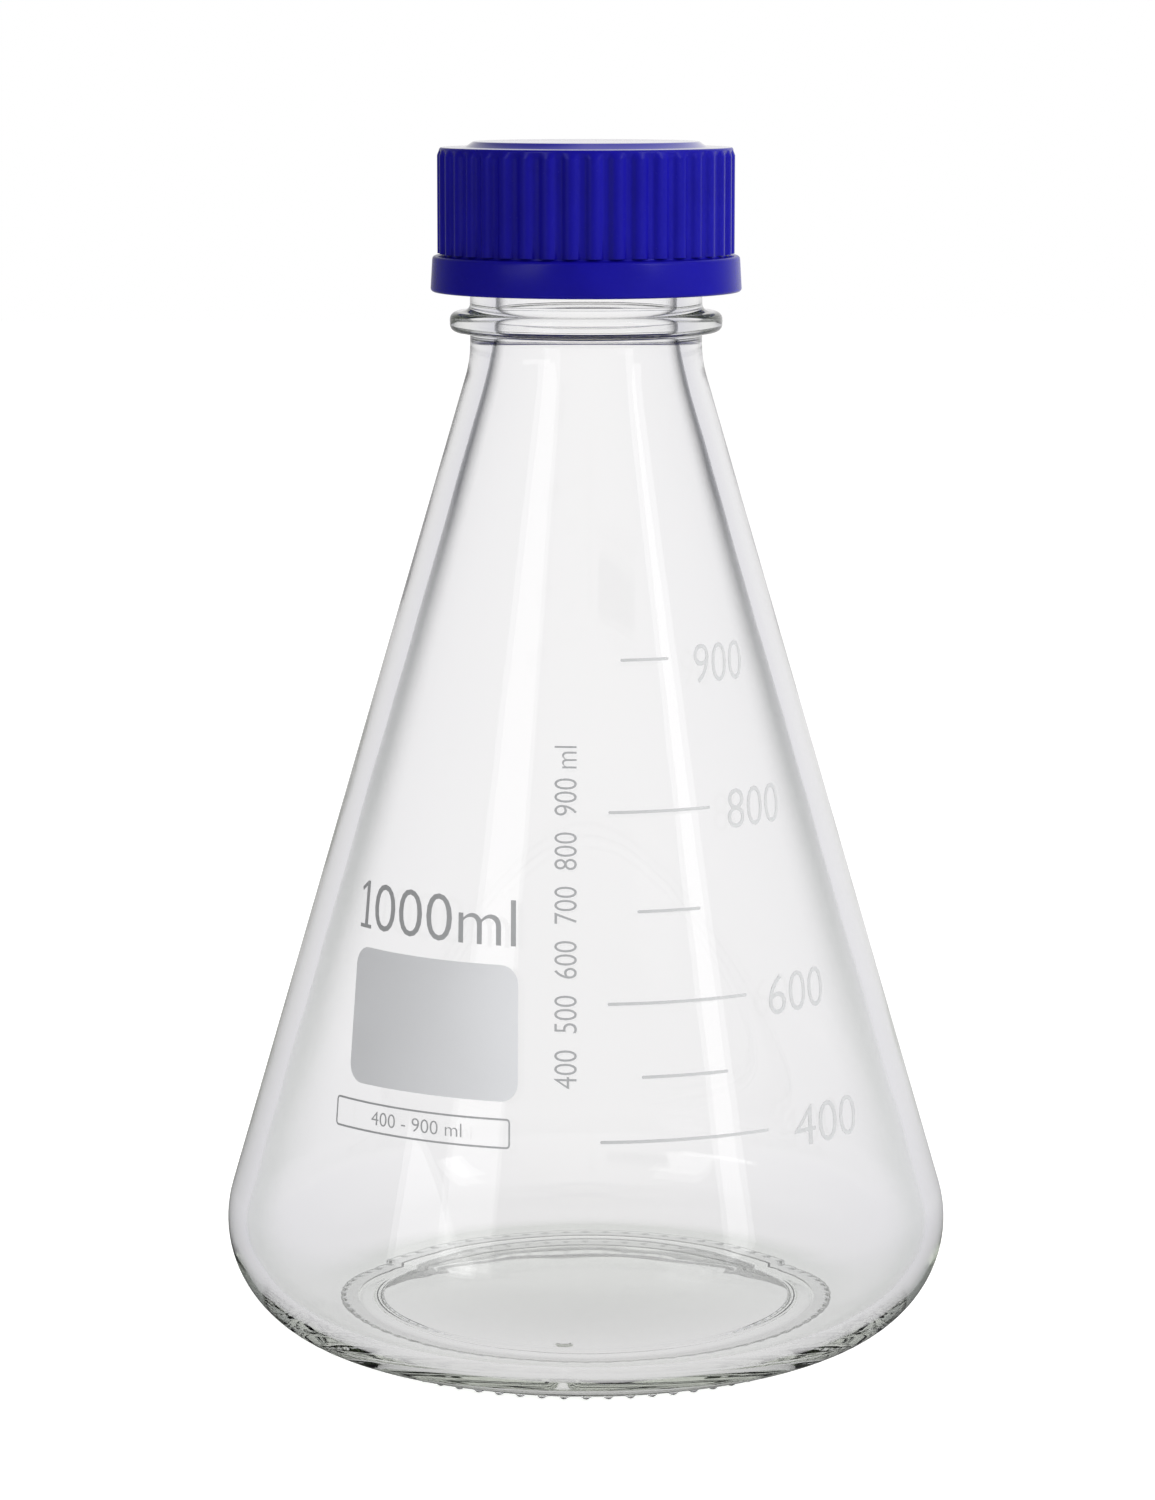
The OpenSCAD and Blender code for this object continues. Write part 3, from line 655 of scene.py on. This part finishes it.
topR = flangeR - cap["flangeDraft"]
rimR = skirtR + cap["ribHeight"] / 2
few, many = cap["innerSegments"], cap["segments"]
capRoot, flangeEdge, rimEdge = cap["rootR"], cap["flangeEdgeR"], cap["rimEdgeR"]
discEdge, roofCorner = cap["discEdgeR"], cap["roofCornerR"]
ribTopZ = capTopZ - cap["rim"] - cap["ribHeight"] / 2
ribEndZ = ribTopZ - cap["ribEnd"]
discFootR = discR + cap["discHeight"]
keeperTopZ = keeperZ + cap["keeperHeight"]
boreRows = int((keeperZ - 2 * cap["threadRow"] - capZ - cap["mouthChamfer"]) / cap["threadRow"])
screwCap = lathe("screwCap", [
    ([(capBoreR + cap["mouthChamfer"], capZ)], few, 0),
    (arcPoints((flangeR - flangeEdge, capZ + flangeEdge), flangeEdge, -90, 0, 5), few, 0),
    (arcPoints((topR - flangeEdge, flangeZ - flangeEdge), flangeEdge, 0, 90, 5), many, 0),
    (arcPoints((skirtR + capRoot, flangeZ + capRoot), capRoot, 270, 180, 4), many, 0),
    (linePoints((skirtR, flangeZ + capRoot + cap["ribStart"]), (skirtR, ribEndZ), 3), many, 1),
    (linePoints((skirtR, ribEndZ + cap["ribEndStep"]), (skirtR, ribTopZ), 6), many, 1),
    (arcPoints((rimR - rimEdge, capTopZ - rimEdge), rimEdge, 0, 90, 5), many, 0),
    ([(discFootR + cap["discRoot"][0], capTopZ), (discFootR, capTopZ + cap["discRoot"][1])], few, 0),
    (arcPoints((discR - discEdge, capTopZ + cap["discHeight"] - discEdge), discEdge, 45, 90, 4), few, 0),
    ([(0.0, capTopZ + cap["discHeight"])], few, 0),
], capMaterial)
print("cap outside ready")
inner = lathe("screwCapInside", [
    ([(0.0, roofZ)], few, 0),
    ([(capBoreR - roofCorner, roofZ), (capBoreR, roofZ - roofCorner), (capBoreR, keeperTopZ)], few, 0),
    ([(keeperR, keeperZ + cap["keeperHeight"] * 2 / 3), (keeperR, keeperZ + cap["keeperHeight"] / 3)], few, 0),
    (linePoints((capBoreR, keeperZ), (capBoreR, capZ + cap["mouthChamfer"]), boreRows), few, 1),
    ([(capBoreR + cap["mouthChamfer"], capZ)], few, 0),
], capMaterial)
bakeTree(screwCap, ribTree, {
    "Ribs": cap["ribs"], "First Rib Turn": cap["ribTurn"] / 360, "Rib Height": cap["ribHeight"] * mm,
    "Rib Radius": cap["ribR"] * mm, "Skirt Radius": skirtR * mm, "Root Fillet": cap["ribRootR"] * mm,
    "Finish": capMaterial})
bakeTree(inner, threadTree, {
    "Pitch": thread["pitch"] * mm, "Ridge Height": (capThreadR - capBoreR) * mm,
    "Ridge Width": thread["width"] * mm, "Turns": thread["capTurns"], "Start Height": capThreadZ * mm,
    "Start Turn": cap["threadStart"], "Run-out Turns": thread["runout"], "Fullness": thread["fullness"],
    "Finish": capMaterial})
joinPieces(screwCap, inner)
screwCap.data.materials.append(topLitMaterial)
# the top faces take the lighter copy with its painted highlight
for face in screwCap.data.polygons:
    if face.center.z > (capTopZ - cap["topMargin"]) * mm:  # the rim's flat top and the disc
        face.material_index = 1
finishSurface(screwCap, 50)
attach(screwCap, "cap")
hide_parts("screw_cap")
print("screw cap ready:", len(screwCap.data.polygons), "faces")


# the cap's plastic, a little clearer and smoother in its thin wall
ringMaterial = mouldedFinish("polypropyleneThinMoulded", ring["finish"])
gap = ring["gap"]
ringR = lipR + gap + ring["wall"]
spoutR = boreR - gap - ring["spoutWall"]
snapZ = snapRimZ - gap * math.tan(math.radians(ring["snapSlope"]))
spoutZ = lipZ - ring["spoutDrop"]
topEdge, spoutEdge = ring["top"] / 3, ring["spoutWall"] * 2 / 3
ringEdge, spoutTip = ring["edgeR"], ring["spoutTipR"]
pouringRing = lathe("pouringRing", [
    ([(grooveR + gap, lipBaseZ + gap)], side, 0),
    (arcPoints((ringR - ringEdge, lipBaseZ + gap + ringEdge), ringEdge, -90, 0, 3), side, 0),
    (arcPoints((ringR - topEdge, ringTopZ - topEdge), topEdge, 0, 90, 5), side, 0),
    (arcPoints((spoutR + spoutEdge, ringTopZ - spoutEdge), spoutEdge, 90, 180, 6), side, 0),
    (arcPoints((spoutR + spoutTip, spoutZ + spoutTip), spoutTip, 180, 270, 3), side, 0),
    ([(boreR - gap, spoutZ), (boreR - gap, lipZ + gap), (lipR + gap, lipZ + gap), (lipR + gap, snapZ),
      (grooveR + gap, snapZ - glass["snapDepth"])], side, 0),
], ringMaterial, closed=True)
finishSurface(pouringRing, 38)
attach(pouringRing, "glass_body")
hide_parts("pouring_ring")


# soft off-white rubber with a matt skin, dusty in its fine pits
sealMaterial = mouldedFinish("siliconeRubberMoulded", seal["finish"])
sealEdge = seal["thickness"] / 6
sealTop = sealZ + seal["thickness"]
bandR, bandZ = (lipR + boreR) / 2, sealZ + seal["bandDepth"]  # the band that the ring presses
bandIn, bandOut = ((seal["bandWidth"] + slope) / 2 for slope in (-seal["bandSlope"], seal["bandSlope"]))
capSeal = lathe("sealDisc", [
    ([(0, sealZ)] + linePoints((bandR - bandOut, sealZ), (bandR - bandIn, bandZ), 2)
     + linePoints((bandR + bandIn, bandZ), (bandR + bandOut, sealZ), 2), side, 0),
    (arcPoints((sealR - sealEdge, sealZ + sealEdge), sealEdge, -90, 0, 5), side, 0),
    (arcPoints((sealR - sealEdge, sealTop - sealEdge), sealEdge, 0, 90, 5), side, 0),
    ([(0, sealTop)], side, 0),
], sealMaterial)
finishSurface(capSeal, 38)
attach(capSeal, "seal")
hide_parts("cap_seal")
print("pouring ring and seal ready")


# bars and numbers are height, first and last degree round the wall
# boxes are left, right, low and high along it, and the grain is drawn coarser than a real screen's
scalePrint = {
    "bars": [(125.9, 9.6, 23.8), (101.2, 5.1, 30.2), (85.1, 10.6, 24.4), (70.4, 4.0, 32.2), (58.6, 9.8, 26.0),
             (48.4, 2.3, 32.4)],
    "barHeight": 0.5, "barEndR": 0.2,
    "numbers": [("900", 124.7, 31.6, 49.5), ("800", 100.6, 34.9, 51.5), ("600", 69.7, 37.3, 52.4),
                ("400", 48.0, 37.9, 53.5)],
    "numberHeight": 6.4,
    "capacity": ("000ml", -41.0, -11.9, 79.3, 86.9),
    "firstDigit": (-45.3, [(0.5, 0.0), (3.5, 0.0), (3.5, 0.6), (2.55, 0.6), (2.55, 7.6), (1.9, 7.6),
                           (0.3, 6.4), (0.55, 5.85), (1.7, 6.75), (1.7, 0.6), (0.5, 0.6)]),
    "field": (-45.0, -11.5, 54.5, 76.3, 3.0), "frame": (-47.9, -12.8, 47.0, 51.8, 0.7), "frameLine": 0.3,
    "frameNumbers": ("400 - 900 ml", 18, 2.2),
    "columnNumbers": ("400  500  600  700  800  900 ml", -5.4, -1.6, 56.9, 112.0),
    "thinning": -0.008, "sink": 0.01, "proud": 0.04, "bend": 0.8, "bendReach": 60,
    "darkColour": "#A9AAAC", "paleColour": "#BABBBC", "fieldColour": "#E0E1E4",
    "grain": 0.25, "cloud": 14, "cloudLevels": (0.97, 1.03), "roughness": (0.3, 0.45), "relief": (0.2, 0.01),
}


# fired glass paint: even and thin, faintly grained by the screen
def enamelFinish(name, colour):
    material, tree = newMaterial(name)
    place = addNode(tree, "ShaderNodeTexCoord").outputs["Object"]
    grain, cloud = (addNode(tree, "ShaderNodeTexNoise", {
        "Vector": place, "Scale": 1 / (scalePrint[part] * mm), "Detail": detail}).outputs[0]
        for part, detail in (("grain", 2.0), ("cloud", 1.0)))
    shade, rough = (addNode(tree, "ShaderNodeMapRange", {
        "Value": noise, "To Min": scalePrint[span][0], "To Max": scalePrint[span][1]}).outputs[0]
        for noise, span in ((cloud, "cloudLevels"), (grain, "roughness")))
    tone = addNode(tree, "ShaderNodeVectorMath", {0: linear(colour)[:3], "Scale": shade}, operation="SCALE")
    bump = addNode(tree, "ShaderNodeBump", {
        "Height": grain, "Strength": scalePrint["relief"][0], "Distance": scalePrint["relief"][1] * mm})
    surface = addNode(tree, "ShaderNodeBsdfPrincipled", {
        "Base Color": tone.outputs[0], "Roughness": rough, "Normal": bump.outputs[0], "IOR": 1.5})
    addNode(tree, "ShaderNodeOutputMaterial", {0: surface.outputs[0]})
    return material


# grey for the large figures and the frame, paler where the paint lies thin, palest on the field to write on
enamelDark = enamelFinish("enamelScreenPrintedDark", scalePrint["darkColour"])
enamelPale = enamelFinish("enamelScreenPrintedPale", scalePrint["paleColour"])
enamelField = enamelFinish("enamelScreenPrintedField", scalePrint["fieldColour"])


# a closed box with rounded corners
def roundedLoop(left, right, low, high, radius):
    corners = (((right - radius, low + radius), -90), ((right - radius, high - radius), 0),
               ((left + radius, high - radius), 90), ((left + radius, low + radius), 180))
    return [point for centre, start in corners for point in arcPoints(centre, radius, start, start + 90, 6)]


# closed loops, or words fitted to a box, as a thin solid: x along the wall, y up it and z off it
def flatShape(name, loops=None, words=None, box=None, turned=False):
    curve = bpy.data.curves.new(name, "FONT" if words else "CURVE")
    curve.extrude = 1.0
    if words:
        curve.body = words
        curve.offset = scalePrint["thinning"]
        curve.resolution_u = 4
    else:
        curve.dimensions = "2D"
        curve.fill_mode = "BOTH"
        for loop in loops:
            line = curve.splines.new("POLY")
            line.points.add(len(loop) - 1)
            for point, (along, up) in zip(line.points, loop):
                point.co = (along, up, 0, 1)
            line.use_cyclic_u = True
    holder = bpy.data.objects.new(name, curve)
    scene.collection.objects.link(holder)
    graph = bpy.context.evaluated_depsgraph_get()
    data = bpy.data.meshes.new_from_object(holder.evaluated_get(graph), depsgraph=graph)
    bpy.data.objects.remove(holder)
    bpy.data.curves.remove(curve)
    points = np.array([vert.co[:] for vert in data.vertices])
    if turned:
        points = points @ np.array([[0, 1, 0], [-1, 0, 0], [0, 0, 1]])
    if box:
        left, right, low, high = box
        least, most = points.min(0), points.max(0)
        points[:, 0] = left + (points[:, 0] - least[0]) * (right - left) / (most[0] - least[0])
        points[:, 1] = low + (points[:, 1] - least[1]) * (high - low) / (most[1] - least[1])
    points[:, 2] = np.where(points[:, 2] > 0, scalePrint["proud"], -scalePrint["sink"])
    for vert, point in zip(data.vertices, points):
        vert.co = point
    return data


# lays flat shapes on the cone as one piece
def printPiece(name, shapes, material):
    mesh = bmesh.new()
    for shape in shapes:
        mesh.from_mesh(shape)
        bpy.data.meshes.remove(shape)
    bmesh.ops.remove_doubles(mesh, verts=mesh.verts, dist=1e-4)
    for edge in np.arange(-scalePrint["bendReach"], scalePrint["bendReach"], scalePrint["bend"]):
        bmesh.ops.bisect_plane(mesh, geom=mesh.verts[:] + mesh.edges[:] + mesh.faces[:], dist=1e-5,
                               plane_co=(edge, 0, 0), plane_no=(1, 0, 0))
    for vert in mesh.verts:
        along, up, off = vert.co
        wallR = float(np.interp(up, wallHeights, wallRadii))
        angle = along / wallR
        vert.co = ((wallR + off) * math.sin(angle) * mm, -(wallR + off) * math.cos(angle) * mm, up * mm)
    bmesh.ops.recalc_face_normals(mesh, faces=mesh.faces)
    data = bpy.data.meshes.new(name)
    mesh.to_mesh(data)
    mesh.free()
    data.materials.append(material)
    piece = bpy.data.objects.new(name, data)
    scene.collection.objects.link(piece)
    finishSurface(piece, 30)
    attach(piece, "glass_body")
    return piece


# a box on the wall from a height and two angles in degrees
def arcBox(z, start, end, height):
    wallR = float(np.interp(z, wallHeights, wallRadii))
    return math.radians(start) * wallR, math.radians(end) * wallR, z - height / 2, z + height / 2


bars = [roundedLoop(*arcBox(*place, scalePrint["barHeight"]), scalePrint["barEndR"])
        for place in scalePrint["bars"]]
printPiece("scaleBars", [flatShape("bars", loops=bars)], enamelPale)
printPiece("scaleNumbers", [
    flatShape("number" + words, words=words, box=arcBox(*place, scalePrint["numberHeight"]))
    for words, *place in scalePrint["numbers"]], enamelPale)
words, *box = scalePrint["capacity"]
left, digit = scalePrint["firstDigit"]
digit = [(left + along, box[2] + up) for along, up in digit]
printPiece("capacityNumber", [
    flatShape("firstDigit", loops=[digit]), flatShape("capacity", words=words, box=box)], enamelDark)
words, *box = scalePrint["columnNumbers"]
printPiece("columnNumbers", [flatShape("column", words=words, box=box, turned=True)], enamelDark)
printPiece("markingField", [flatShape("field", loops=[roundedLoop(*scalePrint["field"])])], enamelField)
left, right, low, high, radius = scalePrint["frame"]
line = scalePrint["frameLine"]
outline = [roundedLoop(left, right, low, high, radius),
           roundedLoop(left + line, right - line, low + line, high - line, radius - line)[::-1]]
words, width, height = scalePrint["frameNumbers"]
middle = ((left + right) / 2, (low + high) / 2)
box = (middle[0] - width / 2, middle[0] + width / 2, middle[1] - height / 2, middle[1] + height / 2)
printPiece("numberFrame", [
    flatShape("frame", loops=outline), flatShape("frameWords", words=words, box=box)], enamelDark)
print("printed scale ready")
